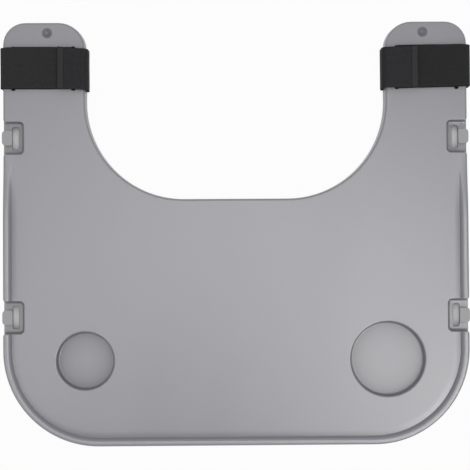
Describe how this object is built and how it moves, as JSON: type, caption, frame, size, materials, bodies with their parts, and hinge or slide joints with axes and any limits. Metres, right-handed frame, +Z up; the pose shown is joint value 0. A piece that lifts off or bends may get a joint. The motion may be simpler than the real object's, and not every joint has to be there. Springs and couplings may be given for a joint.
{
  "type": "lap tray",
  "caption": "Grey moulded lap tray with a body cut-out, raised border, cup wells, edge hooks and dark wrap-round straps on its arms.",
  "frame": {"origin": "on the resting plane, under the middle of the tray's bounding box", "axes": "+X across the tray towards the large cup well's side, +Y from the front edge towards the arm tips and the person who wears it, +Z up from the resting plane through the deck"},
  "size_m": [0.552, 0.5, 0.0256],
  "materials": {
    "tray_plastic": "satin grey moulded plastic",
    "hook_plastic": "matte grey moulded plastic",
    "webbing": "woven dark webbing",
    "loop_tape": "dark loop pile",
    "hook_tape": "dark hook tape",
    "binding_tape": "dark folded tape"
  },
  "bodies": {
    "tray_body": {"tray_panel": "tray_plastic", "edge_hook_left_rear": "hook_plastic", "edge_hook_left_front": "hook_plastic", "edge_hook_right_rear": "hook_plastic", "edge_hook_right_front": "hook_plastic", "left_strap_band": "webbing", "right_strap_band": "webbing", "left_loop_patch": "loop_tape", "right_loop_patch": "loop_tape"},
    "left_flap_body": {"left_flap": "webbing", "left_hook_patch": "hook_tape", "left_flap_binding": "binding_tape"},
    "right_flap_body": {"right_flap": "webbing", "right_hook_patch": "hook_tape", "right_flap_binding": "binding_tape"}
  },
  "joints": [
    {"name": "left_flap_peel", "type": "hinge", "parent": "tray_body", "child": "left_flap_body", "pos_m": [-0.1756, 0.1947, 0.0241], "axis": [0, 1, 0], "range_deg": [0, 170]},
    {"name": "right_flap_peel", "type": "hinge", "parent": "tray_body", "child": "right_flap_body", "pos_m": [0.1756, 0.1947, 0.0241], "axis": [0, -1, 0], "range_deg": [0, 170]}
  ]
}
